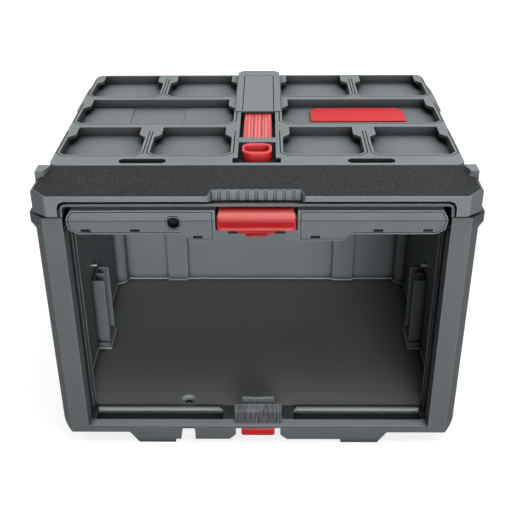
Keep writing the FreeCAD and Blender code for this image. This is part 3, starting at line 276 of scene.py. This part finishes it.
def red_plastic(name, colour, edge, specular, roughness, painted_sheen=None):
    """Moulded ABS, satin: an even saturated red, with a pale highlight painted along its rounded edges. The
    edge is in metres, and the last argument says where a pale highlight is painted on ribs or a curve."""
    material, tree = new_material(name)
    place = add_node(tree, "TexCoord").outputs["Object"]
    fine = add_node(tree, "TexNoise", {"Vector": place, "Scale": 1 / (0.9 * MM), "Detail": 2.0})
    drift = add_node(tree, "TexNoise", {"Vector": place, "Scale": 1 / (30 * MM)})
    # A pale highlight painted along the rounded edges.
    rounded, edge_highlight = painted_edge_highlights(tree, edge, start=0.99, full=0.85, most=0.45)
    darker = layered(tree, colour, (0.12, BLACK))
    tone = layered(tree, darker, (drift.outputs["Fac"], colour))
    # A pale highlight painted on a curve or on rib tops.
    if painted_sheen:
        tone = layered(tree, tone, (painted_sheen(tree, place), HIGHLIGHT_PINK))
    # Painted shade in gaps, over the painted edge highlight.
    tone = painted_gap_shade(tree, layered(tree, tone, (edge_highlight, HIGHLIGHT_RED)), 5 * MM, alone=True)
    bump = add_node(tree, "Bump", {"Height": fine.outputs["Fac"], "Strength": 0.12, "Distance": 0.05 * MM,
                                   "Normal": rounded})
    shader = add_node(tree, "BsdfPrincipled", {"Base Color": tone, "Roughness": roughness, "IOR": 1.53,
                                               "Specular IOR Level": specular, "Normal": bump.outputs[0]})
    add_node(tree, "OutputMaterial", {"Surface": shader.outputs[0]})
    return material


def plated_steel(name, colour):
    """Zinc plated steel: bright, with fine drawing lines that blur the reflection along one way."""
    material, tree = new_material(name)
    place = add_node(tree, "TexCoord").outputs["Object"]
    drawn = add_node(tree, "Mapping", {"Vector": place, "Scale": (1.0, 0.04, 1.0)})
    lines = add_node(tree, "TexNoise", {"Vector": drawn.outputs[0], "Scale": 1 / (0.5 * MM),
                                        "Detail": 2.0}).outputs["Fac"]
    rough = add_node(tree, "MapRange", {"Value": lines, "To Min": 0.22, "To Max": 0.42})
    darker = layered(tree, colour, (0.25, BLACK))
    tone = layered(tree, darker, (lines, colour))
    shader = add_node(tree, "BsdfPrincipled", {"Base Color": tone, "Metallic": 1.0,
                                               "Roughness": rough.outputs[0]})
    add_node(tree, "OutputMaterial", {"Surface": shader.outputs[0]})
    return material


def dress(material, *nodes):
    """Give nodes of the frame a material in place of the one they came with."""
    for name in nodes:
        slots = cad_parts[name].data.materials
        slots.clear()
        slots.append(material)


def shaded_facets(tree, place, facing, colour, darker):
    """The bevelled front corners, painted darker as shade."""
    aside = add_node(tree, "VectorMath", {0: place}, operation="ABSOLUTE").outputs[0]
    slant = add_node(tree, "VectorMath", {0: facing}, operation="ABSOLUTE").outputs[0]
    corner = joined(tree, "MULTIPLY", zone(tree, aside, OUTER_SIDE, MM), zone(tree, slant, FACET_SLANT),
                    zone(tree, facing, CORNER_FACET))
    return layered(tree, colour, (corner, darker))


def cabin_painted_light(tree, place, facing, colour):
    """Inside the outer skin, painted light and shade: paler back wall, ledges, floor and sill strip, a dark
    floor step line and sill channel, pale highlights on the sill's ridges and the dimple, and darker
    bevelled corners."""
    colours, _ = cabinet_settings()
    back = joined(tree, "MULTIPLY", zone(tree, place, CABIN, MM), zone(tree, facing, FACES_FRONT))
    step = add_node(tree, "MapRange", {"Value": zone(tree, place, FLOOR_STEP, MM), "To Max": 0.45})
    floor = layered(tree, colours.floor, (step.outputs[0], colours.gap))
    places = ((CABIN_FLOOR, floor), (SILL_STRIP, colours.sill), (SILL_CHANNEL, colours.channel),
              (SILL_RIDGE, colours.ridge), (FLOOR_DIMPLE, colours.ridge))
    tone = layered(tree, colour, (back, colours.cabin),
                   *((zone(tree, place, ranges, MM), cover) for ranges, cover in places))
    return shaded_facets(tree, place, facing, tone, colours.facet)


def body_seam(tree, place, facing):
    """Painted shade along the seam under the lid, on the body."""
    return zone(tree, place, BODY_SEAM, MM)


def lid_bands(tree, place, facing, colour):
    """The lid's slopes, steeper than its deck and flatter than its walls, and its bevelled corners painted
    darker as shade.
    """
    colours, _ = cabinet_settings()
    banded = layered(tree, colour, (zone(tree, facing, LID_SLOPE), colours.band))
    return shaded_facets(tree, place, facing, banded, colours.shell)


def lid_seam(tree, place, facing):
    """Painted shade along the seam under the lid, on the lid."""
    return zone(tree, place, LID_SEAM, MM)


def door_lines(tree, place, facing):
    """Painted shade in the door's fine panel lines, the parting of its halves, its windows and its hole."""
    ahead = zone(tree, facing, SQUARE_TO_FRONT)
    groove = joined(tree, "MULTIPLY", ahead, zone(tree, place, DOOR_GROOVES, MM))
    parting = joined(tree, "MULTIPLY", ahead, zone(tree, place, DOOR_PARTING, MM))
    return joined(tree, "MAXIMUM", groove, parting, zone(tree, place, DOOR_HOLE, MM))


def pocket_painted_shade(tree, place, facing, colour):
    """The walls of the stacking pockets painted dark as shade, the rear ones painted lighter, as light they
    catch.
    """
    colours, _ = cabinet_settings()
    walls = joined(tree, "MULTIPLY", zone(tree, facing, UPRIGHT), zone(tree, place, POCKETS, MM))
    tone = layered(tree, colours.walls, (zone(tree, facing, POCKET_REAR), colours.rear_walls))
    return layered(tree, colour, (walls, tone))


def pocket_lines(tree, place, facing):
    """Painted shade on the floors of the fine lines round the pockets and of the slots."""
    return joined(tree, "MULTIPLY", zone(tree, facing, FLAT_TOP), zone(tree, place, POCKET_LINES, MM))


def cover_line(tree, place, facing):
    """Painted shade on the floor of the fine line round the spine's cover."""
    return joined(tree, "MULTIPLY", zone(tree, facing, FLAT_TOP), zone(tree, place, COVER_LINE, MM))


def strike_top_highlight(tree, place, facing, colour):
    """The strike's top, which faces up, painted pale as a highlight."""
    return layered(tree, colour, (zone(tree, facing, TOP_EDGE), cabinet_settings()[0].ridge))


def scoop_streaks(tree, place):
    """Uneven upright streaks about 1.2 mm wide, as on a brushed rubber."""
    drawn = add_node(tree, "Mapping", {"Vector": place, "Scale": (1.0, 0.06, 0.06)})
    streaks = add_node(tree, "TexNoise", {"Vector": drawn.outputs[0], "Scale": 1 / (1.2 * MM),
                                          "Detail": 3.0})
    return add_node(tree, "MapRange", {"Value": streaks.outputs["Fac"], "From Min": 0.3,
                                       "From Max": 0.7}).outputs[0]


def scoop_tones(tree, place, facing, colour):
    """Dark between the scoop's streaks."""
    return layered(tree, cabinet_settings()[0].seal, (scoop_streaks(tree, place), colour))


class CABINET_OT_mouldings(bpy.types.Operator):
    """Finish the grey mouldings and the rubber: body, lid, grid, door, posts, tracks, seals and scoop"""
    bl_idname = "cabinet.mouldings"
    bl_label = "Grey mouldings"

    def execute(self, context):
        colours, _ = cabinet_settings()
        # Polypropylene from a grained mould: an even, matt grey, because the grain scatters the light; light
        # and shade are painted in the cabin, on the corners and along the seam.
        body = moulded("polypropylene_body", colours.shell, roughness=0.5, depth=0.08, reach=14,
                       paint=cabin_painted_light, lines=body_seam)
        dress(body, "body_shell", "base_skid")
        # The door's finer grain: slightly more sheen than the body, crossed by panel lines painted dark as
        # shade.
        door = moulded("polypropylene_door", colours.door, roughness=0.46, depth=0.06, reach=6, alone=True,
                       lines=door_lines)
        dress(door, "door_outer_shell")
        # The same grain on the door's inner half, painted darker as shade.
        door_inner = moulded("polypropylene_door_inner", colours.door_inner, roughness=0.46, depth=0.06,
                             reach=6, alone=True, lines=door_lines)
        dress(door_inner, "door_inner_shell")
        # The lid's coarse, deep grain: its slopes look nearly black, and its lip a pale matt grey; its
        # corners and seam are painted dark as shade.
        lid = moulded("polypropylene_lid", colours.lid, roughness=0.5, depth=0.16, reach=40, coarse=True,
                      paint=lid_bands, lines=lid_seam, specular=0.08, clear=0.95)
        dress(lid, "roof_cap")
        # The plate that other units slide over: dull, with pocket walls and fine outlines painted dark as
        # shade.
        plate = moulded("polypropylene_plate", colours.plate, roughness=0.66, depth=0.06, reach=30,
                        paint=pocket_painted_shade, lines=pocket_lines)
        dress(plate, "stacking_grid", "spine_bridge")
        # The spine's cover: as dull as the plate, with one fine outline painted dark as shade.
        cover = moulded("polypropylene_cover", colours.plate, roughness=0.66, depth=0.06, reach=30,
                        lines=cover_line)
        dress(cover, "spine_cover")
        # Glass filled nylon: hard and dry looking, with a crisp pale highlight painted on its edges.
        posts = moulded("glass_filled_nylon_pale", colours.door, roughness=0.5, depth=0.08, reach=8)
        dress(posts, "shelf_post_left", "shelf_post_right")
        # The same nylon, with its top painted pale as a highlight.
        strike = moulded("glass_filled_nylon_strike", colours.shell, roughness=0.45, depth=0.08, reach=8,
                         paint=strike_top_highlight)
        dress(strike, "latch_strike")
        # Dark nylon of the sliding parts: matt, lost in the shade of the cabin.
        dark = moulded("glass_filled_nylon", colours.dark, roughness=0.55, depth=0.08, reach=6)
        dress(dark, "track_left", "track_right", "pivot_shoe_left", "pivot_shoe_right")
        # Thermoplastic rubber: near black, with no shine.
        seal = moulded("thermoplastic_rubber", colours.seal, roughness=0.75, depth=0.1, reach=4)
        dress(seal, "side_seal_left", "side_seal_right")
        # The scoop's rubber: pale upright streaks that give a grip, dark between them.
        scoop = moulded("ribbed_rubber", colours.scoop, roughness=0.7, depth=0.1, reach=3, coarse=True,
                        paint=scoop_tones, relief=scoop_streaks)
        dress(scoop, "finger_scoop")
        return {"FINISHED"}


def paddle_sheen(tree, place):
    """A pale highlight painted on the upper curve of the latch's paddle, up to the flat above it."""
    start, full, fade, flat = 315 * MM, 322 * MM, 323 * MM, 326.5 * MM
    most = 0.26
    height = add_node(tree, "SeparateXYZ", {"Vector": place}).outputs["Z"]
    rise = add_node(tree, "MapRange", {"Value": height, "From Min": start, "From Max": full, "To Max": most})
    fall = add_node(tree, "MapRange", {"Value": height, "From Min": flat, "From Max": fade})
    return joined(tree, "MULTIPLY", rise.outputs[0], fall.outputs[0])


def tongue_rib_highlights(tree, place):
    """Pale stripes along the release's tongue, behind its finger ring, 4.2 mm apart: highlights painted on
    the tops of its fine ribs.
    """
    pitch = 4.2 * MM
    # A wave texture repeats every 2 pi / 20 at a scale of 1.
    wave = add_node(tree, "TexWave", {"Vector": place, "Scale": 2 * pi / (20 * pitch)})
    pale = add_node(tree, "MapRange", {"Value": wave.outputs["Fac"], "From Min": 0.35, "To Max": 0.4})
    return joined(tree, "MULTIPLY", pale.outputs[0], zone(tree, place, RELEASE_TONGUE, MM))


class CABINET_OT_red_parts(bpy.types.Operator):
    """Finish the red latch, releases and bare badge plate"""
    bl_idname = "cabinet.red_parts"
    bl_label = "Red parts"

    def execute(self, context):
        colours, sizes = cabinet_settings()
        thumb_edge = 3 * MM
        # Satin ABS: a deep red with soft highlights painted along the wide rounded edges that a thumb
        # presses.
        base = red_plastic("abs_red", colours.red, thumb_edge, specular=0.22, roughness=0.34)
        dress(base, "base_release")
        # The same ABS on the latch, darker, with a pale highlight painted on its upper curve.
        latch = red_plastic("abs_red_latch", colours.latch_red, thumb_edge, specular=0.15, roughness=0.34,
                            painted_sheen=paddle_sheen)
        dress(latch, "door_latch")
        # Brighter ABS on the stack release, its red painted paler for the light from above: a broad sheen
        # from above, and pale highlights painted on the tops of its ribs.
        glossy = red_plastic("abs_red_glossy", colours.bright_red, sizes.edge, specular=0.6, roughness=0.5,
                             painted_sheen=tongue_rib_highlights)
        dress(glossy, "stack_release")
        # The bare badge: the same bright red, duller and even.
        badge = red_plastic("abs_red_badge", colours.bright_red, sizes.edge, specular=0.25, roughness=0.5)
        dress(badge, "badge_plate")
        return {"FINISHED"}


class CABINET_OT_metal_parts(bpy.types.Operator):
    """Finish the steel studs, screws, dowels, springs and rod"""
    bl_idname = "cabinet.metal_parts"
    bl_label = "Metal parts"

    def execute(self, context):
        colours, _ = cabinet_settings()
        steel = plated_steel("zinc_plated_steel", colours.steel)
        dress(steel, "post_studs", "strike_screws", "track_screws", "base_screws", "roof_dowels",
              "door_pivot_rod", "latch_spring", "stack_spring", "base_spring")
        return {"FINISHED"}


def add_bar(shape, low, high, round_off):
    """A bar between two corners in millimetres, with rounded edges."""
    low, high = Vector(low) * MM, Vector(high) * MM
    place = Matrix.Translation((low + high) / 2) @ Matrix.Diagonal((*(high - low), 1))
    made = bmesh.ops.create_cube(shape, size=1, matrix=place)
    edges = {edge for vertex in made["verts"] for edge in vertex.link_edges}
    bmesh.ops.bevel(shape, geom=list(edges), offset=round_off * MM, offset_type="OFFSET", segments=2,
                    profile=0.5, affect="EDGES", material=-1)


def new_piece(name, shape, material, body):
    """Close a bmesh into an object that rides on a body."""
    bmesh.ops.recalc_face_normals(shape, faces=shape.faces)
    mesh = bpy.data.meshes.new(name)
    shape.to_mesh(mesh)
    shape.free()
    mesh.materials.append(material)
    piece = bpy.data.objects.new(name, mesh)
    bpy.context.scene.collection.objects.link(piece)
    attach(piece, body)
    return piece


class CABINET_OT_floor_bead(bpy.types.Operator):
    """Make the raised bead round the cabin's floor, at the foot of its walls, columns and posts"""
    bl_idname = "cabinet.floor_bead"
    bl_label = "Floor bead"

    def execute(self, context):
        colours, _ = cabinet_settings()
        # Millimetres: the bead, the cabin's walls, and the pilasters on its back wall
        width, top, floor, sink, soft = 1.8, 28.8, 26.8, 0.2, 0.6
        wall, back, column, front = 228.5, 179.5, 17.0, -133
        pilaster_in, pilaster_out, pilaster_depth = 115, 147, 4
        ring_out, ring_sides, ring_steps = 0.8, 8, 8
        post_low, post_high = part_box("shelf_post_right")
        post_in, post_front, post_rear = post_low.x / MM, post_low.y / MM, post_high.y / MM
        column_in = wall - column
        shape = bmesh.new()
        for start, end, rear in ((-column_in, -pilaster_out, back),
                                 (-pilaster_out, -pilaster_in, back - pilaster_depth),
                                 (-pilaster_in, pilaster_in, back),
                                 (pilaster_in, pilaster_out, back - pilaster_depth),
                                 (pilaster_out, column_in, back)):
            add_bar(shape, (start, rear - width, floor), (end, rear + sink, top), soft)
        for side in (1, -1):
            for first, second in (((wall - width, post_rear), (wall + sink, back - column)),
                                  ((post_in - width, post_front - width), (post_in + sink, post_rear)),
                                  ((post_in, post_front - width), (wall, post_front + sink)),
                                  ((wall - width, front), (wall + sink, post_front))):
                ends = sorted((side * first[0], side * second[0]))
                add_bar(shape, (ends[0], first[1], floor), (ends[1], second[1], top), soft)
            middle = Vector((side * wall, back, 0)) * MM
            offset = Vector((0, -(column + ring_out) * MM, (floor + top) / 2 * MM))
            turned = Matrix.Translation(middle + offset) @ Matrix.Rotation(pi / 2, 4, "Y")
            ring = bmesh.ops.create_circle(shape, cap_ends=True, segments=ring_sides, radius=width / 2 * MM,
                                           matrix=turned)
            section = list({face for vertex in ring["verts"] for face in vertex.link_faces})
            bmesh.ops.spin(shape, geom=section, cent=middle, axis=(0, 0, 1), angle=-side * pi / 2,
                           steps=ring_steps)
        # The body's polypropylene, painted pale as a highlight: a pale line round the floor.
        tone = moulded("polypropylene_bead", colours.ridge, roughness=0.45, depth=0.05, reach=2, alone=True)
        new_piece("floor_bead", shape, tone, "cabinet")
        return {"FINISHED"}


class CABINET_OT_release_tail(bpy.types.Operator):
    """Make the strips of the red release that run on under the spine's cover, once the red parts are done"""
    bl_idname = "cabinet.release_tail"
    bl_label = "Release tail"

    def execute(self, context):
        # Millimetres: a thin web with three strips along it
        web_low, web_top, strip_low, strip_top, end = 356.4, 359, 358.5, 360, 33
        web_lap, web_soft, strip_lap, strip_soft = 0.4, 0.4, 0.6, 0.5
        count, space = 3, 1
        _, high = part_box("stack_release")
        half, start = high.x / MM, high.y / MM
        shape = bmesh.new()
        add_bar(shape, (-half, start - web_lap, web_low), (half, end, web_top), web_soft)
        strip = (2 * half - (count + 1) * space) / count
        for number in range(count):
            left = -half + space + number * (strip + space)
            add_bar(shape, (left, start - strip_lap, strip_low), (left + strip, end, strip_top), strip_soft)
        new_piece("release_tail", shape, bpy.data.materials["abs_red_glossy"], "stack_release")
        return {"FINISHED"}


class CABINET_OT_stage(bpy.types.Operator):
    """Pale floor, soft studio light and the camera"""
    bl_idname = "cabinet.stage"
    bl_label = "Studio"

    def execute(self, context):
        _, sizes = cabinet_settings()
        scene = context.scene
        scene.view_settings.view_transform = "Standard"
        self.make_floor(scene)
        self.make_world(scene)
        self.make_lamps(scene)
        self.make_camera(scene, sizes.lens)
        return {"FINISHED"}

    def make_floor(self, scene):
        """Matt studio paper: pale and nearly even to the eye, white far off, and darker to the lamps, so
        that little of their light comes back up."""
        half_size, drop = 6.0, -0.2 * MM
        near, far, near_glow, far_glow = 0.7, 1.8, 0.78, 1.0
        shape = bmesh.new()
        bmesh.ops.create_grid(shape, x_segments=1, y_segments=1, size=half_size,
                              matrix=Matrix.Translation((0, 0, drop)))
        mesh = bpy.data.meshes.new("studio_floor")
        shape.to_mesh(mesh)
        shape.free()
        floor = bpy.data.objects.new("studio_floor", mesh)
        scene.collection.objects.link(floor)
        material, tree = new_material("studio_paper")
        seen = self.seen_ray(tree)
        paper = add_node(tree, "BsdfDiffuse", {"Color": grey(0.12)})
        soft = add_node(tree, "BsdfDiffuse", {"Color": grey(0.3)})
        spot = add_node(tree, "TexCoord").outputs["Object"]
        away = add_node(tree, "VectorMath", {0: spot}, operation="LENGTH").outputs["Value"]
        fade = add_node(tree, "MapRange", {"Value": away, "From Min": near, "From Max": far,
                                           "To Min": near_glow, "To Max": far_glow})
        glow = add_node(tree, "Emission", {"Color": WHITE, "Strength": fade.outputs[0]})
        shown = add_node(tree, "AddShader", {0: soft.outputs[0], 1: glow.outputs[0]})
        both = add_node(tree, "MixShader", {0: seen, 1: paper.outputs[0], 2: shown.outputs[0]})
        add_node(tree, "OutputMaterial", {"Surface": both.outputs[0]})
        mesh.materials.append(material)

    def seen_ray(self, tree):
        """1 where the camera, a reflection or glass looks."""
        path = add_node(tree, "LightPath").outputs
        return joined(tree, "MAXIMUM", path["Is Camera Ray"], path["Is Glossy Ray"],
                      path["Is Transmission Ray"])

    def make_world(self, scene):
        """White to the eye, and a weak fill light on the cabinet."""
        fill, shown = 0.1, 1.0
        world = bpy.data.worlds.new("studio")
        scene.world = world
        world.use_nodes = True
        tree = world.node_tree
        tree.nodes.clear()
        strength = add_node(tree, "MapRange", {"Value": self.seen_ray(tree), "To Min": fill,
                                               "To Max": shown})
        light = add_node(tree, "Background", {"Color": WHITE, "Strength": strength.outputs[0]})
        add_node(tree, "OutputWorld", {"Surface": light.outputs[0]})

    def make_lamps(self, scene):
        """Soft boxes in metres, watts and degrees: the front one is gridded and aimed at the lid, so that
        the light falls off towards the ground."""
        for name, place, aim, size, power, spread in (
                ("overhead_box", (0.35, -0.4, 2.0), 0.18, 1.1, 29.0, 180),
                ("front_box", (0.35, -2.2, 0.95), 0.6, 1.4, 8.2, 45),
                ("right_box", (1.7, -1.5, 0.8), 0.3, 0.9, 4.5, 180),
                ("rear_right_box", (1.9, 1.6, 1.2), 0.18, 2.0, 44.0, 180),
                ("rear_left_box", (-1.9, 1.6, 1.2), 0.18, 2.0, 44.0, 180)):
            lamp = bpy.data.lights.new(name, "AREA")
            lamp.shape = "SQUARE"
            lamp.size = size
            lamp.energy = power
            lamp.spread = radians(spread)
            holder = bpy.data.objects.new(name, lamp)
            holder.location = place
            holder.rotation_euler = (Vector((0, 0, aim)) - Vector(place)).to_track_quat("-Z", "Y").to_euler()
            scene.collection.objects.link(holder)

    def make_camera(self, scene, lens):
        """The photograph's view: a little above the cabinet, looking down at its open front."""
        place = (12.8 * MM, -1015 * MM, 741 * MM)
        pitch, yaw, roll = 0.5145, -0.0142, -0.0073
        sensor = 36.0
        ahead = Vector((sin(yaw) * cos(pitch), cos(yaw) * cos(pitch), -sin(pitch)))
        right = Vector((cos(yaw), -sin(yaw), 0))
        up = right.cross(ahead)
        turned_right = right * cos(roll) + up * sin(roll)
        turned_up = up * cos(roll) - right * sin(roll)
        lens_data = bpy.data.cameras.new("view")
        lens_data.lens = lens
        lens_data.sensor_width = sensor
        lens_data.sensor_fit = "HORIZONTAL"
        camera = bpy.data.objects.new("view", lens_data)
        turn = Matrix((turned_right, turned_up, -ahead)).transposed()
        camera.matrix_world = Matrix.Translation(place) @ turn.to_4x4()
        scene.collection.objects.link(camera)
        scene.camera = camera


STEPS = (CABINET_OT_mouldings, CABINET_OT_red_parts, CABINET_OT_metal_parts, CABINET_OT_floor_bead,
         CABINET_OT_release_tail, CABINET_OT_stage)


class CABINET_PT_panel(bpy.types.Panel):
    """The cabinet's finishes and studio"""
    bl_idname = "CABINET_PT_panel"
    bl_label = "Tool cabinet"
    bl_space_type = "VIEW_3D"
    bl_region_type = "UI"
    bl_category = "Cabinet"

    def draw(self, context):
        for step in STEPS:
            self.layout.operator(step.bl_idname)


CLASSES = (CabinetColours, CabinetSizes, *STEPS, CABINET_PT_panel)


def register():
    """Add the classes, and the settings to the scene."""
    for item in CLASSES:
        bpy.utils.register_class(item)
    bpy.types.Scene.cabinet_colours = PointerProperty(type=CabinetColours)
    bpy.types.Scene.cabinet_sizes = PointerProperty(type=CabinetSizes)


def unregister():
    """Take the settings and the classes away again."""
    del bpy.types.Scene.cabinet_sizes
    del bpy.types.Scene.cabinet_colours
    for item in reversed(CLASSES):
        bpy.utils.unregister_class(item)


def main():
    """Dress the cabinet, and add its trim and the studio."""
    register()
    bpy.ops.cabinet.mouldings()
    bpy.ops.cabinet.red_parts()
    bpy.ops.cabinet.metal_parts()
    bpy.ops.cabinet.floor_bead()
    bpy.ops.cabinet.release_tail()
    bpy.ops.cabinet.stage()


if __name__ == "__main__":
    main()
